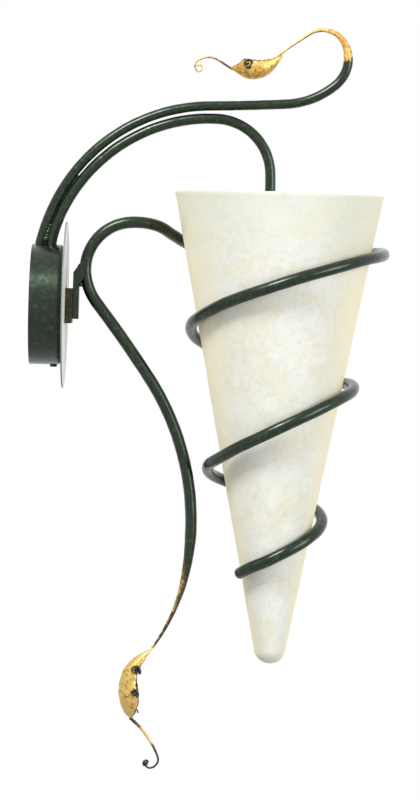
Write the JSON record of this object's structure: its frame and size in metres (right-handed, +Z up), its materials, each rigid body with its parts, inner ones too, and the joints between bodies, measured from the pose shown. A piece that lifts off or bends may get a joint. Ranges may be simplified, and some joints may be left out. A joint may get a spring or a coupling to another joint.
{
  "type": "wall sconce",
  "caption": "Wall sconce: bent iron arms on a round wall cup, a long frosted-glass cone standing in a spiral of rod hung from a hook plate, and gilded leaf ends.",
  "frame": {"origin": "centre of the cable hole at the back of the wall bracket, on the wall", "axes": "+X out of the wall, +Z up, +Y to the left when facing the wall from the room"},
  "size_m": [0.3568, 0.2136, 0.7454],
  "materials": {
    "dark_iron": "blackened iron with a green patina, satin",
    "gold_leaf": "gilded iron, worn and hammered",
    "bronze_brown": "dark brown patina, satin",
    "pale_disc": "white lacquer, satin",
    "frosted_glass": "frosted cream glass with pale clouds",
    "steel": "zinc plated",
    "brass": "plain brass, satin",
    "rubber": "matt black rubber",
    "white_plastic": "matt white",
    "black_plastic": "matt black",
    "ceramic": "unglazed white ceramic",
    "bulb_glass": "opal glass"
  },
  "bodies": {
    "wall_unit": {"wall_bracket": "steel", "cable_bush": "rubber", "earth_screw": "brass", "terminal_block": "white_plastic", "terminal_sleeves": "brass", "terminal_screws": "brass", "canopy": "dark_iron", "canopy_screw": "dark_iron", "arm_block": "steel", "load_plate": "steel", "spacer": "steel", "reflector_disc": "pale_disc", "hook_plate": "bronze_brown", "hook_screws": "bronze_brown", "hook_nuts": "steel", "upper_arm": "dark_iron", "upper_finial": "gold_leaf", "upper_leaf": "gold_leaf", "upper_tendril": "gold_leaf", "lamp_arm": "dark_iron", "lamp_flex": "rubber", "holder_nipple": "brass", "holder_locknut": "brass", "holder_cap": "black_plastic", "holder_core": "ceramic", "holder_shell": "brass", "holder_skirt": "black_plastic", "centre_contact": "brass"},
    "cradle": {"hanger_tab": "dark_iron", "spiral_rod": "dark_iron", "scroll_rod": "dark_iron", "tail_leaf": "gold_leaf", "tail_tendril": "gold_leaf"},
    "shade": {"glass_cone": "frosted_glass"},
    "bulb_carrier": {"bulb_contact": "brass"},
    "bulb": {"bulb_cap": "brass", "bulb_glass": "bulb_glass", "bulb_stem": "bulb_glass"}
  },
  "joints": [
    {"name": "cradle_lift", "type": "slide", "parent": "wall_unit", "child": "cradle", "axis": [0, 0, 1], "range_m": [0, 0.0288]},
    {"name": "shade_lift", "type": "slide", "parent": "cradle", "child": "shade", "axis": [0, 0, 1], "range_m": [0, 0.025]},
    {"name": "bulb_travel", "type": "slide", "parent": "wall_unit", "child": "bulb_carrier", "axis": [0, 0, -1], "range_m": [0, 0.0183]},
    {"name": "bulb_turn", "type": "hinge", "parent": "bulb_carrier", "child": "bulb", "pos_m": [0.23572, 0, 0.02], "axis": [0, 0, -1], "range_deg": [0, 1800]}
  ],
  "couplings": [
    {"joint": "bulb_travel", "follows": "bulb_turn", "m_per_rad": 0.00057757}
  ]
}
